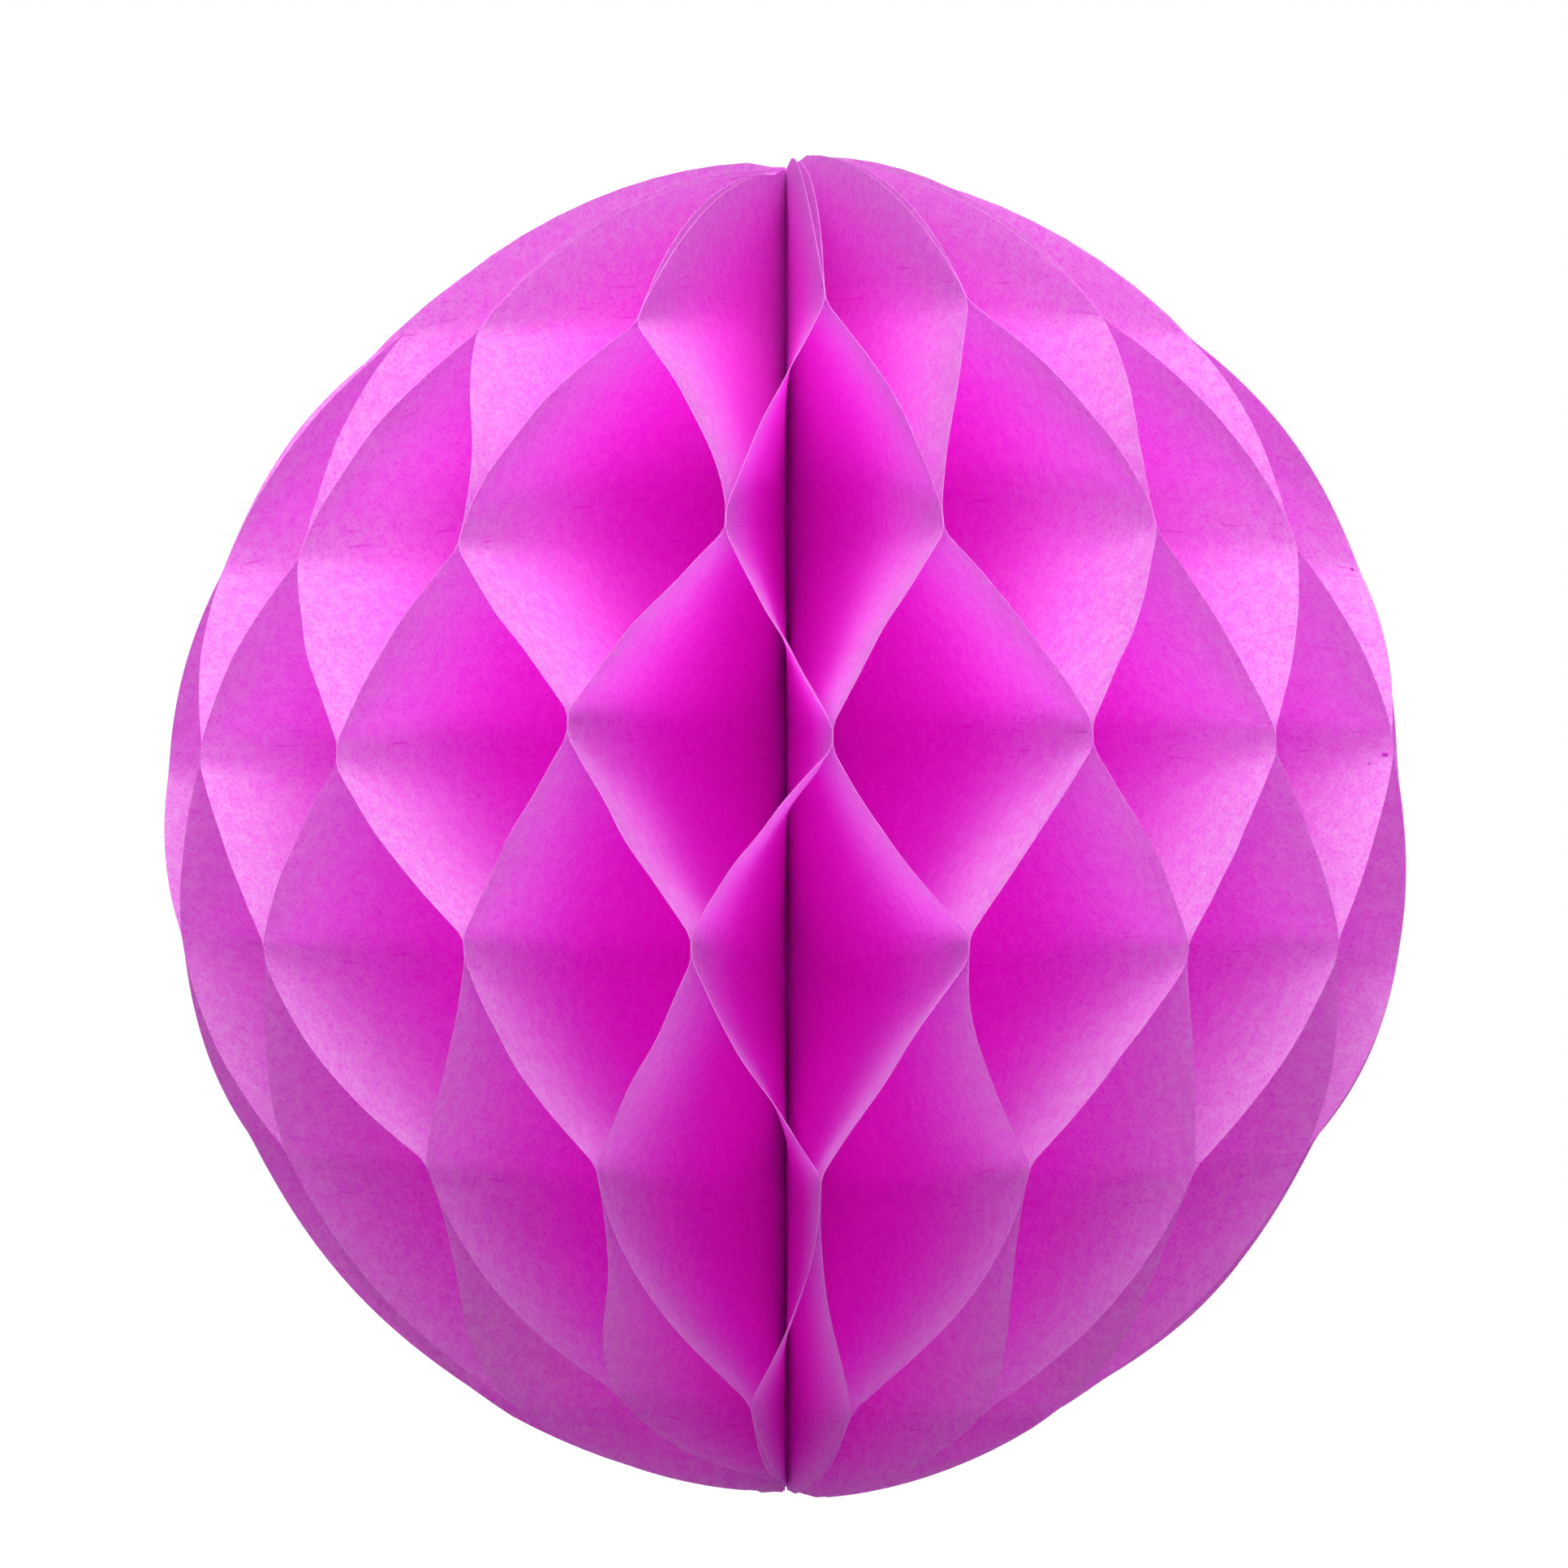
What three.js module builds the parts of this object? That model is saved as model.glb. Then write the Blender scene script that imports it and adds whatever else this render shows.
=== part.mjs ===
// Honeycomb paper ball.
// Half-disc leaves of tissue paper are glued to their neighbours along parallel strips, which
// alternate from one side of a leaf to the other, and are opened out round a thread at their
// straight edges. Millimetres, +Z up along the spine, origin at the middle of the ball.

import * as THREE from 'three';

// Driving dimensions
const LEAF_PAIRS = 16; // pairs of leaves that meet in each row of glue
const BALL_WIDTH = 140; // across the rims at the widest place
const LEAF_HEIGHT = 150; // flat height of a leaf along the spine
const RIM_FULLNESS = 2.15; // exponent of the rim's outline: 2 is an ellipse, more is fuller
const GLUE_PITCH = 25.6; // from one glue strip to the next, on the flat leaf
const GLUE_WIDTH = 3; // width of a glue strip
const GLUE_HEIGHT = 8.4; // height of the glue strip just above the middle, on the flat leaf
const SHEET = 0.15; // thickness of a leaf, measured level
const GLUE_FILM = 0.05; // dried glue between two leaves
const TIP_WIDTH = 5; // width left on a leaf at its top and bottom edges
const THREAD_CLEARANCE = 0.3; // between the spine thread and the straight edges of the leaves
const THREAD_SETBACK = 1.5; // from the end of the thread to the end of a leaf
const FIRST_JOINT_TURN = 3.3; // degrees that the frontmost glue joint is turned to the right

// Form of the folds
const FOLD_LEAN = 1.1; // how much faster a slope near an end of the spine swings on its outer side
const TIP_OPENING = 0.25; // how far a pair opens again past its last glue strip

// Fineness of the surfaces
const DEPTH_STEPS = 2;
const SLOPE_STEPS = 3;
const TIP_STEPS = 3;
const THREAD_SIDES = 12;

// Sizes that follow
const LEAF_COUNT = 2 * Math.round(LEAF_PAIRS); // only whole pairs close up into a ring
const HALF_WEDGE = Math.PI / LEAF_COUNT; // half of the angle that one leaf may fill
const SPINE_RADIUS = (SHEET + GLUE_FILM) / 2 / Math.sin(HALF_WEDGE); // where the leaves close up
const LEAF_DEPTH = BALL_WIDTH / 2 - SPINE_RADIUS;
const HALF_HEIGHT = LEAF_HEIGHT / 2;
const FRONT = -Math.PI / 2; // the ball is seen along +Y

// Width of the flat leaf at a height along the spine: a superellipse.
function rimWidth(along) {
  const share = Math.abs(along) / HALF_HEIGHT;
  return LEAF_DEPTH * (1 - share ** RIM_FULLNESS) ** (1 / RIM_FULLNESS);
}

// Height along the spine at which the flat leaf has a given width.
function rimHeight(width) {
  const share = width / LEAF_DEPTH;
  return HALF_HEIGHT * (1 - share ** RIM_FULLNESS) ** (1 / RIM_FULLNESS);
}

// Swing of a leaf at a share of the slope from one glue strip up to the next: 1 at the first strip,
// -1 at the second. A slope is straight at the middle of the spine. Towards the ends it is bent, and
// swings fastest on the side of the nearer end.
function slopeSwing(strip, share) {
  const lean = FOLD_LEAN * (strip.along + GLUE_PITCH / 2) / HALF_HEIGHT;
  return 1 - 2 * (share - lean * share * (1 - share));
}

// Glue strips that fit on the leaf, from the bottom up, with the side that each one pulls it to.
function glueStrips() {
  const reach = rimHeight(TIP_WIDTH) - GLUE_WIDTH;
  const lowest = Math.ceil((-reach - GLUE_HEIGHT) / GLUE_PITCH);
  const highest = Math.floor((reach - GLUE_HEIGHT) / GLUE_PITCH);
  const strips = [];
  for (let row = lowest; row <= highest; row += 1) {
    strips.push({ along: GLUE_HEIGHT + row * GLUE_PITCH, side: row % 2 === 0 ? -1 : 1 });
  }
  return strips;
}

// Lines past an end strip, from its outer edge to the end of the leaf, as the pair opens a little.
function tipLines(strip, end) {
  const start = strip.along + end * GLUE_WIDTH / 2;
  const lines = [];
  for (let step = 1; step <= TIP_STEPS; step += 1) {
    const share = step / TIP_STEPS;
    const width = THREE.MathUtils.lerp(rimWidth(start), TIP_WIDTH, share);
    lines.push({ along: end * rimHeight(width), swing: strip.side * (1 - TIP_OPENING * share) });
  }
  return lines;
}

// Every line across the leaf at which it bends, from the bottom up: how far along the spine it
// lies on the flat leaf, and its swing from -1 to 1 between the two neighbours.
function leafLines() {
  const strips = glueStrips();
  const lines = tipLines(strips[0], -1).reverse();
  strips.forEach((strip, row) => {
    lines.push({ along: strip.along - GLUE_WIDTH / 2, swing: strip.side });
    lines.push({ along: strip.along + GLUE_WIDTH / 2, swing: strip.side });
    if (row < strips.length - 1) {
      for (let step = 1; step < SLOPE_STEPS; step += 1) {
        const share = step / SLOPE_STEPS;
        lines.push({
          along: strip.along + GLUE_WIDTH / 2 + share * (GLUE_PITCH - GLUE_WIDTH),
          swing: strip.side * slopeSwing(strip, share),
        });
      }
    }
  });
  return lines.concat(tipLines(strips.at(-1), 1));
}

// Rise from one line to the next at a depth from the spine. Paper keeps its length, so what a strip
// of it gains sideways it loses in height.
function stripRise(below, above, depth) {
  const length = above.along - below.along;
  const sideways = 2 * depth * Math.sin(HALF_WEDGE * (above.swing - below.swing) / 2);
  return Math.sqrt(length ** 2 - sideways ** 2);
}

// Height of a line at a depth from the spine, counted from the middle of the leaf at height 0.
function lineHeight(lines, row, depth) {
  const first = lines.findIndex((line) => line.along > 0);
  const below = lines[first - 1];
  const above = lines[first];
  const share = above.along / (above.along - below.along);
  let height = share * stripRise(below, above, depth);
  for (let step = first + 1; step <= row; step += 1) {
    height += stripRise(lines[step - 1], lines[step], depth);
  }
  for (let step = first; step > row; step -= 1) {
    height -= stripRise(lines[step - 1], lines[step], depth);
  }
  return height;
}

// Box whose two X faces are cut into triangles along the same diagonals, so that they stay side by
// side when their squares are twisted. Each square is two triangles, a-b-d and b-c-d, which become
// a-b-c and a-c-d on the second face.
function evenSlab(depthSteps, lengthSteps) {
  const slab = new THREE.BoxGeometry(1, 1, 1, 1, depthSteps, lengthSteps);
  const corners = slab.getIndex().array;
  const { start, count } = slab.groups[1];
  const perSquare = 6; // corners of its two triangles
  for (let square = start; square < start + count; square += perSquare) {
    const [a, b, d, , c] = corners.slice(square, square + perSquare);
    corners.set([a, b, c, a, c, d], square);
  }
  return slab;
}

// One leaf, which fills the wedge about +X: a thin slab whose thickness lies across the wedge, whose
// depth runs out from the spine and whose length follows the lines.
function leafGeometry(lines, side) {
  const slab = evenSlab(DEPTH_STEPS, lines.length - 1);
  const places = slab.getAttribute('position');
  for (let index = 0; index < places.count; index += 1) {
    const row = Math.round((places.getZ(index) + 0.5) * (lines.length - 1));
    const depth = (places.getY(index) + 0.5) * rimWidth(lines[row].along);
    const across = -places.getX(index) * SHEET;
    const angle = side * HALF_WEDGE * lines[row].swing;
    places.setXYZ(
      index,
      SPINE_RADIUS + depth * Math.cos(angle) - across * Math.sin(angle),
      depth * Math.sin(angle) + across * Math.cos(angle),
      lineHeight(lines, row, depth),
    );
  }
  slab.computeVertexNormals();
  return slab;
}

// Thread that binds the straight edges of the leaves, on the axis.
function threadGeometry() {
  const radius = SPINE_RADIUS - THREAD_CLEARANCE;
  const thread = new THREE.CylinderGeometry(
    radius,
    radius,
    LEAF_HEIGHT - 2 * THREAD_SETBACK,
    THREAD_SIDES,
  );
  return thread.rotateX(Math.PI / 2);
}

const tissue = { color: 0xe22fd0, roughness: 0.85, metalness: 0 };
const cotton = { color: 0xa01080, roughness: 0.9, metalness: 0 };

const ball = new THREE.Group();
const lines = leafLines();
for (let number = 0; number < LEAF_COUNT; number += 1) {
  const side = number % 2 === 0 ? 1 : -1;
  const leaf = new THREE.Mesh(leafGeometry(lines, side), new THREE.MeshStandardMaterial(tissue));
  leaf.name = `leaf_${String(number + 1).padStart(2, '0')}`;
  leaf.rotation.z = FRONT + THREE.MathUtils.degToRad(FIRST_JOINT_TURN) + (2 * number + 1) * HALF_WEDGE;
  ball.add(leaf);
}
const thread = new THREE.Mesh(threadGeometry(), new THREE.MeshStandardMaterial(cotton));
thread.name = 'spine_thread';
ball.add(thread);

export default ball;
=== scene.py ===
"""Honeycomb paper ball: leaves of tissue paper, glued to their neighbours in alternate strips and opened
out round a thread. Metres, +Z up along the spine, seen along +Y."""

import math

import bpy
import numpy as np
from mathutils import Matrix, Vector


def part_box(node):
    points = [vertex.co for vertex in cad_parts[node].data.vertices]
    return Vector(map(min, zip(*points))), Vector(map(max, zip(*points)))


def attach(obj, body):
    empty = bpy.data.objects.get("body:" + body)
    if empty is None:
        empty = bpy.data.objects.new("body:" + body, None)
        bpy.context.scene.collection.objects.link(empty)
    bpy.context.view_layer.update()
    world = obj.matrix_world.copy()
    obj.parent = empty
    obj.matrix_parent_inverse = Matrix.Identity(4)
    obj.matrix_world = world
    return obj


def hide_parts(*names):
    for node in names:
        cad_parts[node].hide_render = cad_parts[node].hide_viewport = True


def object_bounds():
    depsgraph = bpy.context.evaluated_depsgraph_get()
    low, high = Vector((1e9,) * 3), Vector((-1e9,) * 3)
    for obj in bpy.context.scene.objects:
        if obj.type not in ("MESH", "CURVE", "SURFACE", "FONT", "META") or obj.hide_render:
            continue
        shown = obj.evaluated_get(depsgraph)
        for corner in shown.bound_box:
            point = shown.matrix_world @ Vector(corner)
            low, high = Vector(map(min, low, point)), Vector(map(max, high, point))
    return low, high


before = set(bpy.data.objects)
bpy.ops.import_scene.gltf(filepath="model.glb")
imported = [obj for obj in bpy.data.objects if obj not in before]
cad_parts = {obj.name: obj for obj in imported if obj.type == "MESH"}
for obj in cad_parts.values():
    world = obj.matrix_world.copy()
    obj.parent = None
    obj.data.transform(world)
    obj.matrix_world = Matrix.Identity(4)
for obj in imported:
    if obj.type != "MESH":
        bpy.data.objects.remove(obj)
cad_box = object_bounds()

MM = 0.001
BODY = "root"
WHITE = (1.0, 1.0, 1.0, 1.0)

# The ball, from the frame
LEAF_NODES = sorted(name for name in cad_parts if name.startswith("leaf_"))
LEAF_COUNT = len(LEAF_NODES)
RIM_RADIUS = (cad_box[1][0] - cad_box[0][0]) / 2
HALF_HEIGHT = (cad_box[1][2] - cad_box[0][2]) / 2
HALF_WEDGE = math.pi / LEAF_COUNT  # half of the angle that one leaf may fill
FIRST_JOINT_TURN = math.radians(3.3)
FRONT = -math.pi / 2 + FIRST_JOINT_TURN  # azimuth of the frontmost joint

# The flat leaf and its glue. The fullness is the exponent of the rim's outline: 2 is an ellipse, and more is
# fuller.
RIM_FULLNESS = 2.15
TIP_FULLNESS = 1.9
GLUE_PITCH = 25.3 * MM
GLUE_WIDTH = 1.6 * MM
GLUE_HEIGHT = 8.3 * MM
GLUE_ROWS = range(-3, 3)
STRIPS = np.array([GLUE_HEIGHT + row * GLUE_PITCH for row in GLUE_ROWS])
SLOPE = GLUE_PITCH - GLUE_WIDTH
TIP_WIDTH = 5.0 * MM
SHEET = 0.06 * MM
GLUE_FILM = 0.02 * MM
SPINE_RADIUS = (SHEET + GLUE_FILM) / 2 / math.sin(HALF_WEDGE)
LEAF_DEPTH = RIM_RADIUS - SPINE_RADIUS

# Form of the folds: sharp at the rim, rounder inside. Past the end strips a pair of leaves opens again, and
# the tips end at slightly different heights.
FOLD_LEAN = 1.8
LEAN_SPREAD = 0.12
RIM_ROUNDING = 0.8 * MM
INNER_ROUNDING = 4.5 * MM
ROUNDING_REACH = 9.0 * MM
TIP_OPENING = 0.25
TIP_SPREAD = 0.3 * MM

# The rims of the upper half lean a little to the right
UPPER_LEAN = 0.3 * MM
LEAN_HEIGHT = 40.0 * MM

# Waves in the slack paper
WAVE_COUNT = 5
WAVE_SWING = 0.22 * MM / RIM_RADIUS

# Fineness of a leaf's surface
STRIP_STEPS = 4
SLOPE_STEPS = 24
TIP_STEPS = 10
DEPTH_STEPS = 40
SHARP_EDGE = math.radians(50)

# How far the hand-opened joints in the photo lie from an even spacing: for each row of glue, the joint's
# number from the front (half cells, + to the right), then its shift right and up at the rim, in millimetres.
JOINT_SHIFTS = {
    2: {-4: (-2.5, -1.0), -2: (-0.5, -1.5), 0: (1.0, 0.5), 2: (-2.0, 1.0), 4: (-2.5, 0.5)},
    1: {-5: (-1.0, -0.5), -3: (-1.5, -0.5), -1: (2.5, 0.5), 1: (-0.5, 0.5), 3: (-1.0, 1.5), 5: (-2.5, 1.0)},
    0: {-6: (-0.5, 0.0), -4: (0.0, -1.0), -2: (1.0, 1.5), 0: (0.5, 0.0), 2: (0.5, 0.5), 4: (-2.0, 0.5)},
    -1: {-5: (0.0, -0.5), -3: (2.5, 0.0), -1: (0.0, 0.0), 1: (1.0, 0.0), 3: (-0.5, -0.5), 5: (-1.5, 0.0)},
    -2: {-6: (0.5, 0.0), -4: (3.5, -0.5), -2: (0.5, -0.5), 0: (0.0, -1.5), 2: (-1.5, -0.5), 4: (-3.5, -1.5)},
    -3: {-3: (-0.5, 2.0), -1: (1.0, 1.0), 1: (-2.0, 0.0)},
}
# Slopes in the photo whose slack lies differently: the leaf's number from the front and the row of glue at
# the slope's lower end, then its lean.
SLOPE_LEANS = {
    (-1, 1): 0.3,
    (-1, 0): -0.1,
    (-1, -1): 0.3,
    (-1, -2): -0.3,
    (0, -1): -0.35,
    (0, -2): 0.1,
    (1, -2): -1.0,
}

# The joints that the photo doesn't show vary by chance
SPREAD_RIGHT = 1.2 * MM
SPREAD_UP = 0.6 * MM
JOINT_SEED = 7
WAVE_SEED = 100


def flat_width(along):
    """Width of the flat leaf at a height along the spine, up to the end strips: a superellipse."""
    share = np.abs(along) / HALF_HEIGHT
    return LEAF_DEPTH * (1 - share**RIM_FULLNESS) ** (1 / RIM_FULLNESS)


def tip_stretch(strip, end):
    """Heights and widths from the outer edge of an end strip to the end of the leaf: the width falls in even
    steps, and the superellipse gets less full."""
    start = strip + end * GLUE_WIDTH / 2
    width = np.linspace(flat_width(start), TIP_WIDTH, TIP_STEPS + 1)[1:]
    share = width / LEAF_DEPTH
    fullness = np.linspace(RIM_FULLNESS, TIP_FULLNESS, TIP_STEPS + 1)[1:]
    return end * HALF_HEIGHT * (1 - share**fullness) ** (1 / fullness), width


def leaf_lines():
    """Heights along the spine of the lines of a leaf's grid, from the bottom up, and the leaf's width at
    each: even steps across each glue strip and across each slope between two strips, with the two tips
    added."""
    low, low_width = tip_stretch(STRIPS[0], -1)
    high, high_width = tip_stretch(STRIPS[-1], 1)
    middle = []
    for strip in STRIPS:
        middle.append(strip + np.linspace(-GLUE_WIDTH / 2, GLUE_WIDTH / 2, STRIP_STEPS + 1))
        middle.append(strip + GLUE_WIDTH / 2 + np.linspace(0, SLOPE, SLOPE_STEPS + 1)[1:-1])
    middle = np.concatenate(middle[:-1])
    lines = np.concatenate([low[::-1], middle, high])
    widths = np.concatenate([low_width[::-1], flat_width(middle), high_width])
    return lines, widths[:, None]


# The leaf's grid: lines across it from the bottom up, and steps in depth from the spine to the rim. Each line
# knows the strip below it, and its run from that strip's edge.
LINES, WIDTHS = leaf_lines()
DEPTH_SHARE = np.linspace(0, 1, DEPTH_STEPS + 1)[None, :]
DEPTH = DEPTH_SHARE * WIDTHS
INSET = WIDTHS - DEPTH
BELOW = np.clip(np.searchsorted(STRIPS, LINES) - 1, 0, len(STRIPS) - 2)
RUN = np.clip(LINES - STRIPS[BELOW] - GLUE_WIDTH / 2, 0, SLOPE)[:, None]
FROM_STRIP = np.abs(LINES[:, None] - STRIPS[None, :]).min(axis=1)[:, None] + 0 * DEPTH

# How round the folds are at each point, and how the slopes lean: more towards the ends of the spine
ROUNDING = RIM_ROUNDING + (INNER_ROUNDING - RIM_ROUNDING) * np.clip(INSET / ROUNDING_REACH, 0, 1)
SLOPE_HEIGHTS = (STRIPS[:-1] + GLUE_PITCH / 2) / HALF_HEIGHT
EVEN_LEANS = FOLD_LEAN * SLOPE_HEIGHTS * np.abs(SLOPE_HEIGHTS)


def slope_share(rounding, leans):
    """How far the paper has gone over from the strip below to the strip above, from 0 to 1. It sets off from
    a strip along a parabola as long as the rounding, goes on straight, and ends in the same way. A slope with
    a lean goes over faster at its upper end, and with a lean below 0 at its lower end."""
    setting_off = RUN**2 / (2 * rounding)
    straight_on = RUN - rounding / 2
    arriving = SLOPE - rounding - (SLOPE - RUN) ** 2 / (2 * rounding)
    gone = np.where(RUN > SLOPE - rounding, arriving, straight_on)
    gone = np.where(RUN < rounding, setting_off, gone)
    share = gone / (SLOPE - rounding)
    return share - leans[BELOW][:, None] * share * (1 - share)


def slope_leans(number, chance):
    """Leans of a leaf's slopes: those in the photo as listed, and the others near the even leans, which grow
    towards the ends of the spine."""
    from_front = (number + LEAF_COUNT // 2) % LEAF_COUNT - LEAF_COUNT // 2
    leans = EVEN_LEANS + chance.normal(0, LEAN_SPREAD, len(EVEN_LEANS))
    for index, row in enumerate(GLUE_ROWS[:-1]):
        leans[index] = SLOPE_LEANS.get((from_front, row), leans[index])
    return np.clip(leans, -1, 1)


def between_strips(values, share):
    """Carries one value for each glue strip over the leaf: it holds across a strip, and goes over to the
    next strip's value by the given share."""
    start = values[BELOW][:, None]
    end = values[BELOW + 1][:, None]
    return start + share * (end - start)


def tip_share():
    """How far each line lies past the end strips: 0 up to a strip's edge, 1 at the end of the leaf."""
    top = (LINES - STRIPS[-1] - GLUE_WIDTH / 2) / (LINES[-1] - STRIPS[-1] - GLUE_WIDTH / 2)
    bottom = (STRIPS[0] - GLUE_WIDTH / 2 - LINES) / (STRIPS[0] - GLUE_WIDTH / 2 - LINES[0])
    return np.clip(np.maximum(top, bottom), 0, 1)[:, None]


TIP_SHARE = tip_share()
OPENING = 1 - TIP_OPENING * TIP_SHARE


def leaf_heights():
    """Height of each point of an evenly opened leaf. Paper keeps its length, so a stretch between two lines
    rises by the root of its length squared less its sideways travel squared. The travel grows with the depth,
    and the rises add up from height 0 on the spine."""
    sides = np.array([-1.0 if row % 2 == 0 else 1.0 for row in GLUE_ROWS])
    swing = (between_strips(sides, slope_share(RIM_ROUNDING, EVEN_LEANS)) * OPENING)[:, 0]
    length = np.diff(LINES)
    turn = 2 * np.sin(HALF_WEDGE * np.diff(swing) / 2)
    travel = DEPTH[:, :, None] * turn
    rise = np.sqrt(np.maximum(length**2 - travel**2, 0))
    sums = np.concatenate([np.zeros(DEPTH.shape + (1,)), np.cumsum(rise, axis=2)], axis=2)
    here = np.take_along_axis(sums, np.arange(len(LINES))[:, None, None], axis=2)[:, :, 0]
    first = np.searchsorted(LINES, 0)
    share = -LINES[first - 1] / length[first - 1]
    middle = sums[:, :, first - 1] + share * rise[:, :, first - 1]
    return here - middle


HEIGHTS = leaf_heights()


def joint_shifts():
    """Turn and lift of every glue joint against an even spacing, as two dictionaries by row and boundary
    number. The joints that face the front are as listed, and the others vary by seeded chance."""
    chance = np.random.default_rng(JOINT_SEED)
    turns = {}
    lifts = {}
    for row, strip in zip(GLUE_ROWS, STRIPS):
        radius = float(flat_width(strip))
        for boundary in range(row % 2, LEAF_COUNT, 2):
            right, up = chance.normal(0, (SPREAD_RIGHT, SPREAD_UP))
            number = boundary if boundary <= LEAF_COUNT // 2 else boundary - LEAF_COUNT
            if number in JOINT_SHIFTS[row]:
                right, up = np.array(JOINT_SHIFTS[row][number]) * MM
            turns[row, boundary] = right / radius
            lifts[row, boundary] = up
    return turns, lifts


TURNS, LIFTS = joint_shifts()


def slack_waves(chance):
    """Swing of the slack paper between the strips: a sum of sine waves that run across the slope in chance
    directions, and die away at the strips."""
    hold = np.sin(math.pi * RUN / SLOPE) ** 2
    waves = np.zeros(DEPTH.shape)
    for order in range(1, WAVE_COUNT + 1):
        across, along = chance.uniform(-1, 1, 2) * 2 * math.pi * order
        phase = chance.uniform(0, 2 * math.pi)
        waves += np.sin(across * DEPTH / LEAF_DEPTH + along * LINES[:, None] / GLUE_PITCH + phase) / order
    return WAVE_SWING * hold * waves


def leaf_surface(number):
    """Middle surface of one leaf, as points on a grid of lines by depth. At each glue strip the leaf lies on
    the boundary that it shares with one neighbour, at that joint's azimuth. In between, the azimuth and the
    joints' lifts go over from strip to strip. A point lies its depth out from the spine at that azimuth."""
    boundaries = [number + (number + row) % 2 for row in GLUE_ROWS]
    joints = [(row, boundary % LEAF_COUNT) for row, boundary in zip(GLUE_ROWS, boundaries)]
    centre = FRONT + (2 * number + 1) * HALF_WEDGE
    swing = np.array([(2 * (boundary - number) - 1) * HALF_WEDGE for boundary in boundaries])
    turn = np.array([TURNS[joint] for joint in joints])
    lift = np.array([LIFTS[joint] for joint in joints])
    chance = np.random.default_rng(WAVE_SEED + number)
    leans = slope_leans(number, chance)
    share = slope_share(ROUNDING, leans)
    azimuth = centre + between_strips(swing, share) * OPENING + between_strips(turn, share)
    azimuth = azimuth + slack_waves(chance)
    tip_lift = chance.normal(0, TIP_SPREAD)
    lifts = between_strips(lift, slope_share(RIM_ROUNDING, leans))
    z = HEIGHTS + DEPTH_SHARE * lifts + TIP_SHARE * tip_lift
    lean = UPPER_LEAN * np.clip(z / LEAN_HEIGHT, 0, 1)
    x = SPINE_RADIUS * math.cos(centre) + DEPTH * np.cos(azimuth) + DEPTH_SHARE * lean
    y = SPINE_RADIUS * math.sin(centre) + DEPTH * np.sin(azimuth)
    return np.stack([x, y, z], axis=2)


def grid_normals(points):
    """Unit normals of a grid surface: the cross product of its slopes along the two parameters."""
    across = np.gradient(points, axis=1)
    along = np.gradient(points, axis=0)
    normal = np.cross(across, along)
    return normal / np.linalg.norm(normal, axis=2, keepdims=True)


def grid_squares(grid):
    """Corner numbers of the four-sided faces of a grid of point numbers."""
    corners = [grid[:-1, :-1], grid[:-1, 1:], grid[1:, 1:], grid[1:, :-1]]
    return np.stack(corners, axis=2).reshape(-1, 4)


def shell_faces(rows, columns):
    """Corner numbers of the four-sided faces of a closed shell made of two grids, the second one behind the
    first, and of the narrow walls along their four edges."""
    front = np.arange(rows * columns).reshape(rows, columns)
    back = front + rows * columns
    ring = np.concatenate([front[0, :], front[1:, -1], front[-1, -2::-1], front[-2:0:-1, 0]])
    after = np.roll(ring, -1)
    walls = np.stack([ring, ring + rows * columns, after + rows * columns, after], axis=1)
    return np.concatenate([grid_squares(front), grid_squares(back)[:, ::-1], walls])


def mesh_object(name, points, faces, material):
    """Puts arrays of points and four-sided faces into a new mesh object with smooth shading, sharp at its
    edges."""
    mesh = bpy.data.meshes.new(name)
    mesh.vertices.add(len(points))
    mesh.vertices.foreach_set("co", points.astype(np.float32).ravel())
    mesh.loops.add(faces.size)
    mesh.loops.foreach_set("vertex_index", faces.astype(np.int32).ravel())
    mesh.polygons.add(len(faces))
    mesh.polygons.foreach_set("loop_start", np.arange(0, faces.size, 4, dtype=np.int32))
    mesh.polygons.foreach_set("use_smooth", np.ones(len(faces), dtype=bool))
    mesh.update(calc_edges=True)
    mesh.set_sharp_from_angle(angle=SHARP_EDGE)
    mesh.materials.append(material)
    piece = bpy.data.objects.new(name, mesh)
    bpy.context.scene.collection.objects.link(piece)
    return piece


def add_map(piece, name, corners):
    """Gives a piece a flat map: two coordinates for each corner of its faces."""
    piece.data.uv_layers.new(name=name).data.foreach_set("uv", corners.astype(np.float32).ravel())


def add_measure(piece, name, values):
    """Gives every point of a piece a number that its material can read."""
    piece.data.attributes.new(name, "FLOAT", "POINT").data.foreach_set("value", values.astype(np.float32))


MAP_STEP = 0.2  # metres from one leaf's map to the next, so that no two leaves show the same paper


def make_leaf(number, material):
    """One leaf as a closed shell: its middle surface moved half the sheet's thickness to either side. Its map
    is the flat leaf, at a place of its own in the paper, and it also knows how far the rim and the glue
    are."""
    middle = leaf_surface(number)
    normal = grid_normals(middle)
    rows, columns = middle.shape[:2]
    front = middle + normal * SHEET / 2
    back = middle - normal * SHEET / 2
    points = np.concatenate([front.reshape(-1, 3), back.reshape(-1, 3)])
    faces = shell_faces(rows, columns)
    node = LEAF_NODES[number]
    piece = mesh_object("paper_" + node, points, faces, material)
    flat = np.stack([DEPTH + number * MAP_STEP, LINES[:, None] + 0 * DEPTH], axis=2).reshape(-1, 2)
    add_map(piece, "flat", np.tile(flat, (2, 1))[faces])
    add_measure(piece, "inset", np.tile(INSET.ravel(), 2))
    add_measure(piece, "from_strip", np.tile(FROM_STRIP.ravel(), 2))
    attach(piece, BODY)
    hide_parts(node)
    return piece


# The thread: two plies laid round each other
THREAD_RADIUS = 0.3 * MM
PLY_WAIST = 0.45
PLY_LAY = 2.4 * MM
THREAD_ROUND_STEPS = 16
THREAD_STEP = 0.16 * MM
THREAD_POINT = 0.02


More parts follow.
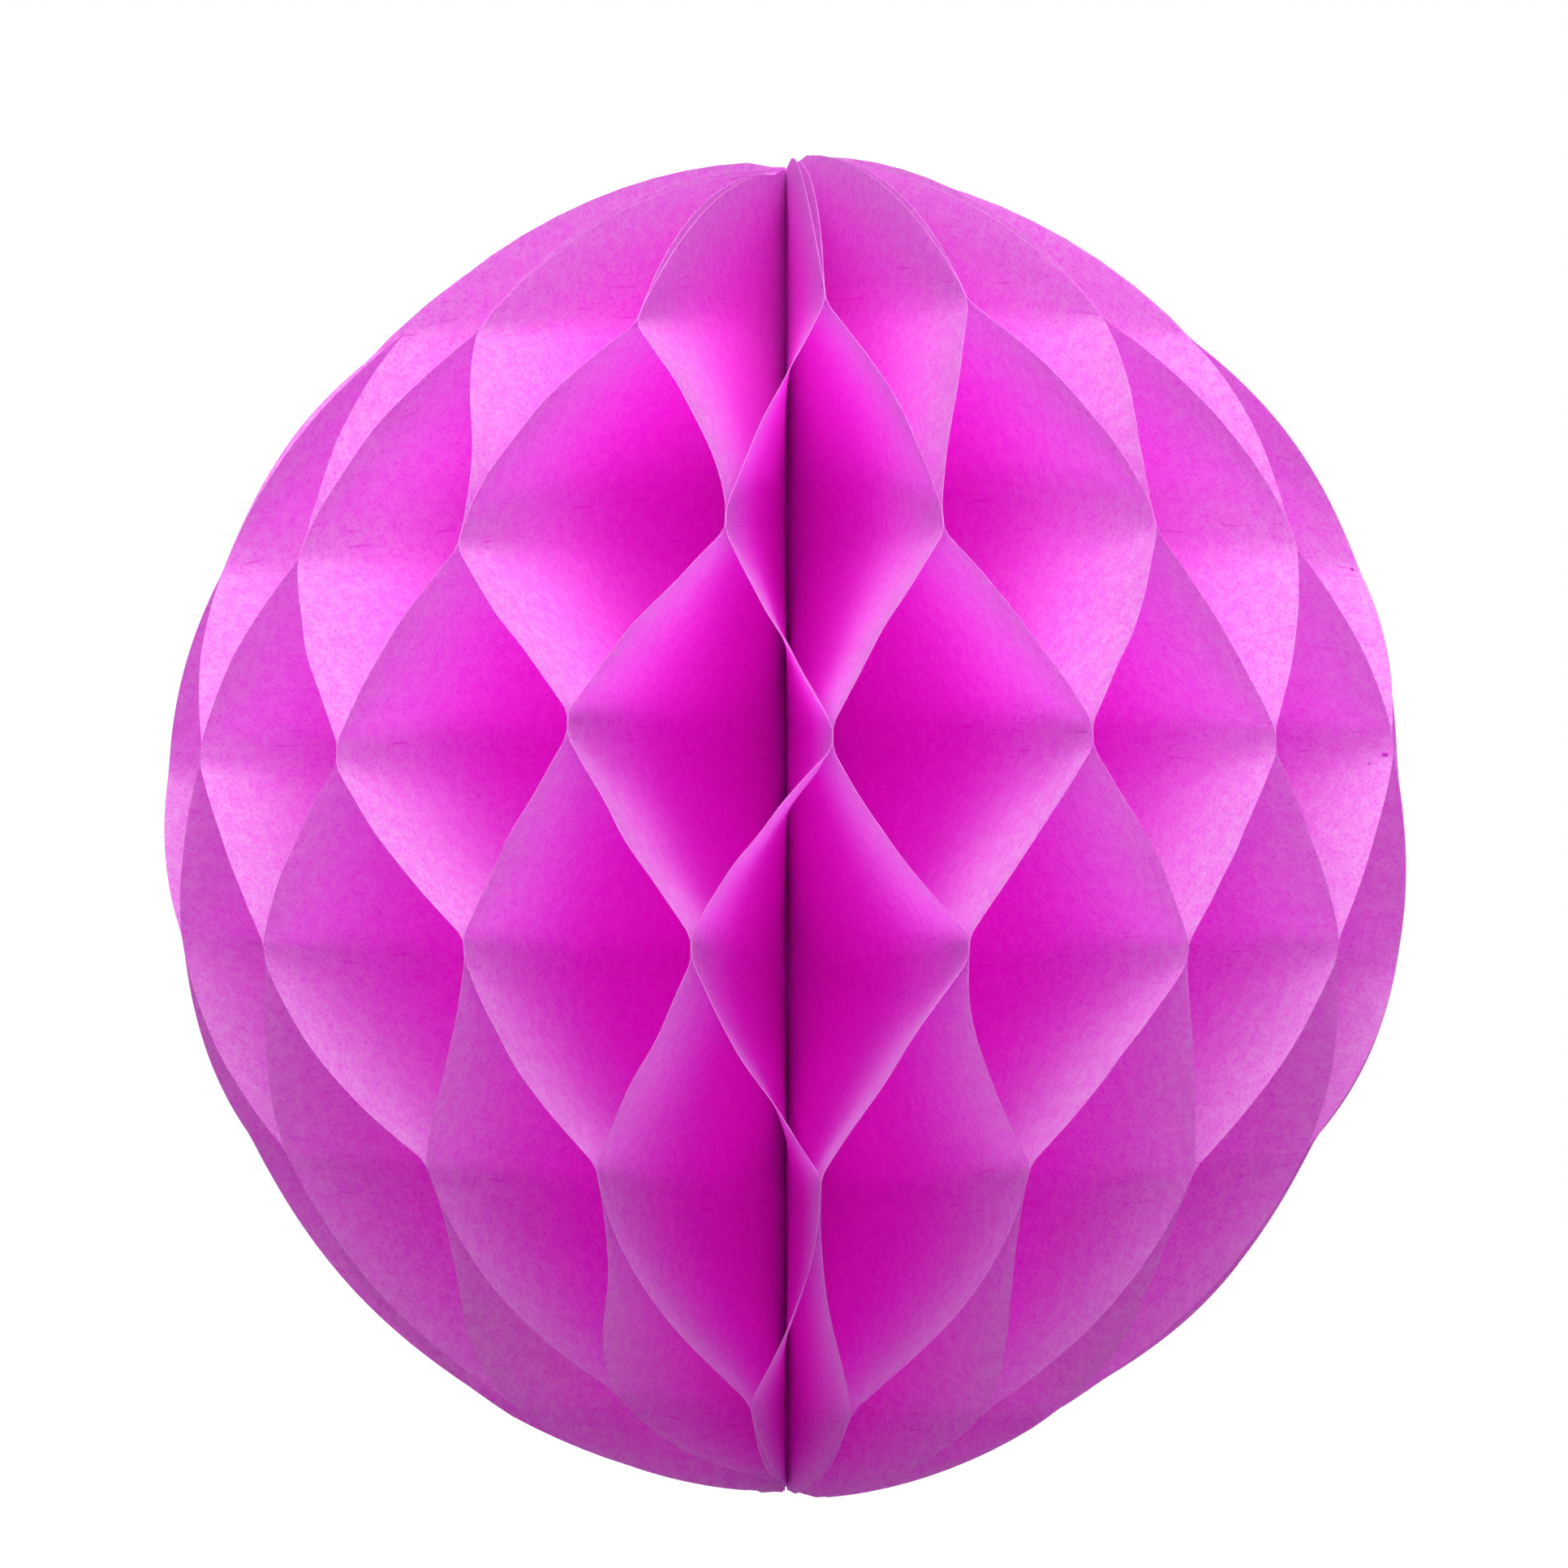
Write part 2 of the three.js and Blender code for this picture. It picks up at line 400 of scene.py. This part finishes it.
def make_thread(material):
    """The binding thread on the axis. Round a turn its radius follows a cosine with two crests, one for each
    ply, and the crests wind along the thread. The ends narrow to a point. Its map is the thread unrolled."""
    low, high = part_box("spine_thread")
    length = high[2] - low[2]
    rows = int(length / THREAD_STEP) + 1
    columns = THREAD_ROUND_STEPS + 1
    along = np.linspace(0, length, rows)[:, None]
    angle = np.linspace(0, 2 * math.pi, columns)[None, :]
    crest = 0.5 + 0.5 * np.cos(2 * (angle - math.pi * along / PLY_LAY))
    narrowing = np.clip(np.minimum(along, length - along) / THREAD_RADIUS, THREAD_POINT, 1)
    radius = THREAD_RADIUS * (PLY_WAIST + (1 - PLY_WAIST) * crest) * narrowing
    height = low[2] + along + 0 * angle
    points = np.stack([radius * np.cos(angle), radius * np.sin(angle), height], axis=2)
    numbers = np.arange(rows * THREAD_ROUND_STEPS).reshape(rows, THREAD_ROUND_STEPS)
    sides = grid_squares(np.concatenate([numbers, numbers[:, :1]], axis=1))
    rung = np.arange(THREAD_ROUND_STEPS // 2 - 1)[:, None]
    opposite = THREAD_ROUND_STEPS - 1 - rung
    end = np.concatenate([rung, rung + 1, opposite - 1, opposite], axis=1)
    ends = np.concatenate([numbers[0][end[:, ::-1]], numbers[-1][end]])
    faces = np.concatenate([sides, ends])
    piece = mesh_object("binding_thread", points[:, :-1].reshape(-1, 3), faces, material)
    unrolled = np.stack([along + 0 * angle, THREAD_RADIUS * angle + 0 * along], axis=2)
    side_map = unrolled.reshape(-1, 2)[grid_squares(np.arange(rows * columns).reshape(rows, columns))]
    end_map = unrolled[:, :-1].reshape(-1, 2)[ends]
    add_map(piece, "flat", np.concatenate([side_map, end_map]))
    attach(piece, BODY)
    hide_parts("spine_thread")
    return piece


def new_material(name):
    """A material with an empty node tree."""
    material = bpy.data.materials.new(name)
    material.use_nodes = True
    nodes = material.node_tree.nodes
    nodes.clear()
    return material, nodes, material.node_tree.links


def math_node(nodes, links, operation, *values):
    """A Math node. Each value is a number, or the output that feeds it. Returns its output."""
    node = nodes.new("ShaderNodeMath")
    node.operation = operation
    for socket, value in zip(node.inputs, values):
        if isinstance(value, (int, float)):
            socket.default_value = value
        else:
            links.new(value, socket)
    return node.outputs["Value"]


def range_node(nodes, links, value, low, high, low_result=0.0, high_result=1.0):
    """A Map Range node with a smooth step from one result to the other. Returns its output."""
    node = nodes.new("ShaderNodeMapRange")
    node.interpolation_type = "SMOOTHSTEP"
    links.new(value, node.inputs["Value"])
    node.inputs["From Min"].default_value = low
    node.inputs["From Max"].default_value = high
    node.inputs["To Min"].default_value = low_result
    node.inputs["To Max"].default_value = high_result
    return node.outputs["Result"]


def colour_mix(nodes, links, share, first, second, blend="MIX"):
    """A colour Mix node. Each colour is a triple, or the output that feeds it. Returns its output."""
    node = nodes.new("ShaderNodeMix")
    node.data_type = "RGBA"
    node.blend_type = blend
    if isinstance(share, float):
        node.inputs["Factor"].default_value = share
    else:
        links.new(share, node.inputs["Factor"])
    for socket, colour in ((node.inputs[6], first), (node.inputs[7], second)):
        if isinstance(colour, tuple):
            socket.default_value = colour + (1,)
        else:
            links.new(colour, socket)
    return node.outputs[2]


def flat_noise(nodes, links, vector, scale, detail):
    """A Noise node that reads a flat map."""
    node = nodes.new("ShaderNodeTexNoise")
    node.noise_dimensions = "2D"
    node.inputs["Scale"].default_value = scale
    node.inputs["Detail"].default_value = detail
    links.new(vector, node.inputs["Vector"])
    return node


# Matted fibres: the directions they lie in, and the levels of noise between which clouds and fibres set in
FIBRE_TURNS = (0.5, -0.9)
CLOUD_DETAIL = 2.0
CLOUD_LEVELS = (0.3, 0.7)
FIBRE_LEVELS = (0.55, 0.8)


def fibre_group():
    """Node group for matted fibres, shared by the paper and the thread. Clouds are soft noise, whose scale is
    in turns per metre. Fibres are the crests of noise that is stretched along two directions, and their scale
    is the length and width of a fibre."""
    group = bpy.data.node_groups.new("matted_fibres", "ShaderNodeTree")
    group.interface.new_socket("Place", in_out="INPUT", socket_type="NodeSocketVector")
    group.interface.new_socket("Cloud Scale", in_out="INPUT", socket_type="NodeSocketFloat")
    group.interface.new_socket("Fibre Scale", in_out="INPUT", socket_type="NodeSocketVector")
    group.interface.new_socket("Clouds", in_out="OUTPUT", socket_type="NodeSocketFloat")
    group.interface.new_socket("Fibres", in_out="OUTPUT", socket_type="NodeSocketFloat")
    nodes = group.nodes
    links = group.links
    source = nodes.new("NodeGroupInput")
    result = nodes.new("NodeGroupOutput")
    clouds = flat_noise(nodes, links, source.outputs["Place"], 1.0, CLOUD_DETAIL)
    links.new(source.outputs["Cloud Scale"], clouds.inputs["Scale"])
    links.new(range_node(nodes, links, clouds.outputs["Fac"], *CLOUD_LEVELS), result.inputs["Clouds"])
    streaks = []
    for turn in FIBRE_TURNS:
        spun = nodes.new("ShaderNodeMapping")
        spun.vector_type = "TEXTURE"
        spun.inputs["Rotation"].default_value = (0, 0, turn)
        links.new(source.outputs["Place"], spun.inputs["Vector"])
        links.new(source.outputs["Fibre Scale"], spun.inputs["Scale"])
        streaks.append(flat_noise(nodes, links, spun.outputs["Vector"], 1.0, 0.0).outputs["Fac"])
    crests = math_node(nodes, links, "MAXIMUM", *streaks)
    links.new(range_node(nodes, links, crests, *FIBRE_LEVELS), result.inputs["Fibres"])
    return group


FIBRES = fibre_group()


def fibres_node(nodes, links, place, cloud_size, fibre_length, fibre_width):
    """The shared fibre group, placed in a material with its own sizes."""
    node = nodes.new("ShaderNodeGroup")
    node.node_tree = FIBRES
    links.new(place, node.inputs["Place"])
    node.inputs["Cloud Scale"].default_value = 1 / cloud_size
    node.inputs["Fibre Scale"].default_value = (fibre_length, fibre_width, 1)
    return node.outputs["Clouds"], node.outputs["Fibres"]


def flat_map(nodes):
    """The place on a piece's flat map, in metres."""
    node = nodes.new("ShaderNodeUVMap")
    node.uv_map = "flat"
    return node.outputs["UV"]


# The dye as light comes back from it, painted paler towards the rim as painted light and deeper towards the
# spine
# # as painted shade, and what turns it into light that comes through
RIM_DYE_WITH_PAINTED_LIGHT = (0.97, 0.40, 0.96)
INNER_DYE_WITH_PAINTED_SHADE = (0.98, 0.14, 0.905)
PAINTED_SHADE_REACH = 32.0 * MM
THROUGH_TINT = (1.0, 0.45, 1.0)
THROUGH_SHARE = 0.5

# The felt of the paper: clouds, fibres and a fine relief
CLOUD_SIZE = 1.6 * MM
CLOUD_TINT = (1.0, 1.3, 1.0)
FIBRE_LENGTH = 0.7 * MM
FIBRE_WIDTH = 0.2 * MM
FIBRE_TINT = (0.97, 0.65, 0.96)
FELT_SIZE = 0.7 * MM
FELT_DETAIL = 1.0
FELT_RELIEF = 0.05 * MM
FELT_STRENGTH = 0.35
PAPER_ROUGHNESS = (0.75, 0.9)
DULL_SHINE = 0.2

# Short creases where the paper bends away from the glue: dented in the relief, and darkened with painted
# shade
CREASE_LENGTH = 6.0 * MM
CREASE_WIDTH = 0.35 * MM
CREASE_REACH = 6.0 * MM
CREASE_LEVELS = (0.8, 0.86)
CREASE_PAINTED_SHADE = (0.95, 0.55, 0.93)


def crease_mask(nodes, links, place):
    """1 on short creases that run out from the spine beside a glue strip: crests of stretched noise."""
    from_strip = nodes.new("ShaderNodeAttribute")
    from_strip.attribute_name = "from_strip"
    stretched = nodes.new("ShaderNodeMapping")
    stretched.vector_type = "TEXTURE"
    stretched.inputs["Scale"].default_value = (CREASE_LENGTH, CREASE_WIDTH, 1)
    links.new(place, stretched.inputs["Vector"])
    crests = flat_noise(nodes, links, stretched.outputs["Vector"], 1.0, 0.0).outputs["Fac"]
    near = range_node(nodes, links, from_strip.outputs["Fac"], CREASE_REACH, GLUE_WIDTH / 2)
    creased = range_node(nodes, links, crests, *CREASE_LEVELS)
    return math_node(nodes, links, "MULTIPLY", creased, near)


def tissue_paper():
    """Thin dyed tissue: half of the light that it doesn't soak up comes back, and half comes through, deeper
    in colour. Light that has entered the sheet leaves it on the other side. The dye is clouded and fibrous.
    Its colour is painted paler towards the rim as painted light, deeper towards the spine as painted shade,
    and darker in the creases as painted shade."""
    material, nodes, links = new_material("tissue_paper")
    output = nodes.new("ShaderNodeOutputMaterial")
    inset = nodes.new("ShaderNodeAttribute")
    inset.attribute_name = "inset"
    place = flat_map(nodes)
    clouds, fibres = fibres_node(nodes, links, place, CLOUD_SIZE, FIBRE_LENGTH, FIBRE_WIDTH)
    # Painted light and shade: the colour goes from pale at the rim to deep towards the spine
    depth = range_node(nodes, links, inset.outputs["Fac"], 0.0, PAINTED_SHADE_REACH)
    surface_colour = colour_mix(nodes, links, depth, RIM_DYE_WITH_PAINTED_LIGHT, INNER_DYE_WITH_PAINTED_SHADE)
    surface_colour = colour_mix(nodes, links, clouds, surface_colour, CLOUD_TINT, "MULTIPLY")
    surface_colour = colour_mix(nodes, links, fibres, surface_colour, FIBRE_TINT, "MULTIPLY")
    # Painted shade: the colour is darkened along the creases
    creases = crease_mask(nodes, links, place)
    surface_colour = colour_mix(nodes, links, creases, surface_colour, CREASE_PAINTED_SHADE, "MULTIPLY")
    bump = nodes.new("ShaderNodeBump")
    bump.inputs["Strength"].default_value = FELT_STRENGTH
    bump.inputs["Distance"].default_value = FELT_RELIEF
    felt = flat_noise(nodes, links, place, 1 / FELT_SIZE, FELT_DETAIL).outputs["Fac"]
    links.new(math_node(nodes, links, "SUBTRACT", felt, creases), bump.inputs["Height"])
    face = nodes.new("ShaderNodeBsdfPrincipled")
    face.inputs["Specular IOR Level"].default_value = DULL_SHINE
    links.new(range_node(nodes, links, clouds, 0.0, 1.0, *PAPER_ROUGHNESS), face.inputs["Roughness"])
    links.new(surface_colour, face.inputs["Base Color"])
    links.new(bump.outputs["Normal"], face.inputs["Normal"])
    through = nodes.new("ShaderNodeBsdfTranslucent")
    links.new(colour_mix(nodes, links, 1.0, surface_colour, THROUGH_TINT, "MULTIPLY"), through.inputs["Color"])
    outside = nodes.new("ShaderNodeMixShader")
    outside.inputs["Fac"].default_value = THROUGH_SHARE
    links.new(face.outputs["BSDF"], outside.inputs[1])
    links.new(through.outputs["BSDF"], outside.inputs[2])
    inside = nodes.new("ShaderNodeBsdfTranslucent")
    inside.inputs["Color"].default_value = WHITE
    geometry = nodes.new("ShaderNodeNewGeometry")
    sheet = nodes.new("ShaderNodeMixShader")
    links.new(geometry.outputs["Backfacing"], sheet.inputs["Fac"])
    links.new(outside.outputs["Shader"], sheet.inputs[1])
    links.new(inside.outputs["BSDF"], sheet.inputs[2])
    links.new(sheet.outputs["Shader"], output.inputs["Surface"])
    return material


# The thread's cotton: its dye, darker and paler in soft clouds, and on single fibres
COTTON_DARK = (0.35, 0.01, 0.22)
COTTON_PALE = (0.5, 0.03, 0.36)
COTTON_FIBRE = (0.62, 0.08, 0.46)
COTTON_CLOUD_SIZE = 0.5 * MM
COTTON_FIBRE_LENGTH = 0.6 * MM
COTTON_FIBRE_WIDTH = 0.05 * MM
COTTON_RELIEF = 0.03 * MM
COTTON_STRENGTH = 0.4
COTTON_ROUGHNESS = (0.95, 0.8)
COTTON_SHEEN = 0.3


def twisted_cotton():
    """Dyed cotton thread, with fine fibres along it."""
    material, nodes, links = new_material("twisted_cotton")
    output = nodes.new("ShaderNodeOutputMaterial")
    sizes = (COTTON_CLOUD_SIZE, COTTON_FIBRE_LENGTH, COTTON_FIBRE_WIDTH)
    clouds, fibres = fibres_node(nodes, links, flat_map(nodes), *sizes)
    surface_colour = colour_mix(nodes, links, clouds, COTTON_DARK, COTTON_PALE)
    surface_colour = colour_mix(nodes, links, fibres, surface_colour, COTTON_FIBRE)
    bump = nodes.new("ShaderNodeBump")
    bump.inputs["Strength"].default_value = COTTON_STRENGTH
    bump.inputs["Distance"].default_value = COTTON_RELIEF
    links.new(fibres, bump.inputs["Height"])
    face = nodes.new("ShaderNodeBsdfPrincipled")
    face.inputs["Specular IOR Level"].default_value = DULL_SHINE
    face.inputs["Sheen Weight"].default_value = COTTON_SHEEN
    links.new(range_node(nodes, links, fibres, 0.0, 1.0, *COTTON_ROUGHNESS), face.inputs["Roughness"])
    links.new(surface_colour, face.inputs["Base Color"])
    links.new(bump.outputs["Normal"], face.inputs["Normal"])
    links.new(face.outputs["BSDF"], output.inputs["Surface"])
    return material


tissue = tissue_paper()
for leaf_number in range(LEAF_COUNT):
    make_leaf(leaf_number, tissue)
make_thread(twisted_cotton())

# The studio: a soft key light from above and in front, weaker light from the front and from behind, and a
# floor that the camera sees as white
KEY_LIGHT = 8.5
KEY_HEIGHT = math.radians(60)
KEY_SHARPNESS = 10.0
LIGHT_FRONT = 0.3
LIGHT_BEHIND = 0.35
FLOOR_DROP = 0.3
FLOOR_SIDE = 6.0
FLOOR_PALE = 0.25
FLOOR_FILL = 0.75


def seen_directly(nodes, links):
    """1 for rays from the camera, mirror reflections and clear glass, and 0 for the light that falls on
    things."""
    path = nodes.new("ShaderNodeLightPath")
    rays = path.outputs
    clear = math_node(nodes, links, "SUBTRACT", rays["Is Transmission Ray"], rays["Is Diffuse Ray"])
    seen = math_node(nodes, links, "MAXIMUM", rays["Is Camera Ray"], rays["Is Glossy Ray"])
    return math_node(nodes, links, "MAXIMUM", seen, clear)


def studio_floor():
    """Pale floor far below the hanging ball. It fills up to white for the camera, and keeps the shadow."""
    material, nodes, links = new_material("floor")
    material.cycles.emission_sampling = "NONE"
    output = nodes.new("ShaderNodeOutputMaterial")
    pale = nodes.new("ShaderNodeBsdfDiffuse")
    pale.inputs["Color"].default_value = (FLOOR_PALE, FLOOR_PALE, FLOOR_PALE, 1)
    fill = nodes.new("ShaderNodeEmission")
    fill_strength = math_node(nodes, links, "MULTIPLY", seen_directly(nodes, links), FLOOR_FILL)
    links.new(fill_strength, fill.inputs["Strength"])
    both = nodes.new("ShaderNodeAddShader")
    links.new(pale.outputs["BSDF"], both.inputs[0])
    links.new(fill.outputs["Emission"], both.inputs[1])
    links.new(both.outputs["Shader"], output.inputs["Surface"])
    level = cad_box[0][2] - FLOOR_DROP
    corners = np.array([[-1, -1], [1, -1], [1, 1], [-1, 1]]) * FLOOR_SIDE
    points = np.concatenate([corners, np.full((4, 1), level)], axis=1)
    floor = mesh_object("floor", points, np.array([[0, 1, 2, 3]]), material)


def studio_light():
    """Soft light by direction, in a white studio: a lobe round the key's direction, and a little that grows
    towards the front and the back."""
    world = bpy.data.worlds.new("studio")
    bpy.context.scene.world = world
    world.use_nodes = True
    world.cycles.sampling_method = "NONE"
    nodes = world.node_tree.nodes
    nodes.clear()
    links = world.node_tree.links
    output = nodes.new("ShaderNodeOutputWorld")
    surround = nodes.new("ShaderNodeBackground")
    backdrop = nodes.new("ShaderNodeBackground")
    place = nodes.new("ShaderNodeTexCoord")
    split = nodes.new("ShaderNodeSeparateXYZ")
    links.new(place.outputs["Generated"], split.inputs["Vector"])
    back = split.outputs["Y"]
    towards_key = nodes.new("ShaderNodeVectorMath")
    towards_key.operation = "DOT_PRODUCT"
    towards_key.inputs[1].default_value = (0, -math.cos(KEY_HEIGHT), math.sin(KEY_HEIGHT))
    links.new(place.outputs["Generated"], towards_key.inputs[0])
    near_key = math_node(nodes, links, "MAXIMUM", towards_key.outputs["Value"], 0.0)
    near_key = math_node(nodes, links, "POWER", near_key, KEY_SHARPNESS)
    level = math_node(nodes, links, "MULTIPLY", near_key, KEY_LIGHT)
    behind = math_node(nodes, links, "MAXIMUM", back, 0.0)
    level = math_node(nodes, links, "MULTIPLY_ADD", behind, LIGHT_BEHIND, level)
    before = math_node(nodes, links, "MINIMUM", back, 0.0)
    level = math_node(nodes, links, "MULTIPLY_ADD", before, -LIGHT_FRONT, level)
    links.new(level, surround.inputs["Strength"])
    mix = nodes.new("ShaderNodeMixShader")
    for shader in (surround, backdrop):
        shader.inputs["Color"].default_value = WHITE
    links.new(seen_directly(nodes, links), mix.inputs["Fac"])
    links.new(surround.outputs["Background"], mix.inputs[1])
    links.new(backdrop.outputs["Background"], mix.inputs[2])
    links.new(mix.outputs["Shader"], output.inputs["Surface"])


# The camera: how far it stands from the middle of the ball, and the place that it looks at
CAMERA_DISTANCE = 560.0 * MM
CAMERA_ELEVATION = math.radians(-1.5)
CAMERA_AIM = np.array([-0.3 * MM, 0.0, 4.7 * MM])
LENS = 113.4
SENSOR_WIDTH = 36


def photo_camera():
    """Camera at the photograph's angle: a little below the middle of the ball, aimed above it."""
    direction = np.array([0, -math.cos(CAMERA_ELEVATION), math.sin(CAMERA_ELEVATION)])
    place = direction * CAMERA_DISTANCE
    data = bpy.data.cameras.new("camera")
    data.lens = LENS
    data.sensor_width = SENSOR_WIDTH
    camera = bpy.data.objects.new("camera", data)
    camera.location = place
    look = CAMERA_AIM - place
    tilt = math.atan2(look[2], math.hypot(look[0], look[1]))
    camera.rotation_euler = (math.pi / 2 + tilt, 0, math.atan2(-look[0], look[1]))
    bpy.context.scene.collection.objects.link(camera)
    bpy.context.scene.camera = camera


studio_floor()
studio_light()
photo_camera()
bpy.context.scene.view_settings.view_transform = "Standard"

# Light passes through many leaves before it leaves the ball. What is still inside it after a few bounces is
# taken as even.
FOLLOWED_BOUNCES = 3
LONGEST_PATH = 20
EVEN_LIGHT = 1.7
OPEN_DISTANCE = 3.5 * MM


def light_paths():
    """How far light is followed: some bounces one by one, and then as even light wherever a place is open."""
    paths = bpy.context.scene.cycles
    paths.debug_use_spatial_splits = True
    paths.caustics_reflective = False
    paths.caustics_refractive = False
    paths.max_bounces = LONGEST_PATH
    paths.diffuse_bounces = LONGEST_PATH
    paths.transmission_bounces = LONGEST_PATH
    paths.use_fast_gi = True
    paths.fast_gi_method = "REPLACE"
    paths.ao_bounces = FOLLOWED_BOUNCES
    paths.ao_bounces_render = FOLLOWED_BOUNCES
    even = bpy.context.scene.world.light_settings
    even.distance = OPEN_DISTANCE
    even.ao_factor = EVEN_LIGHT


light_paths()
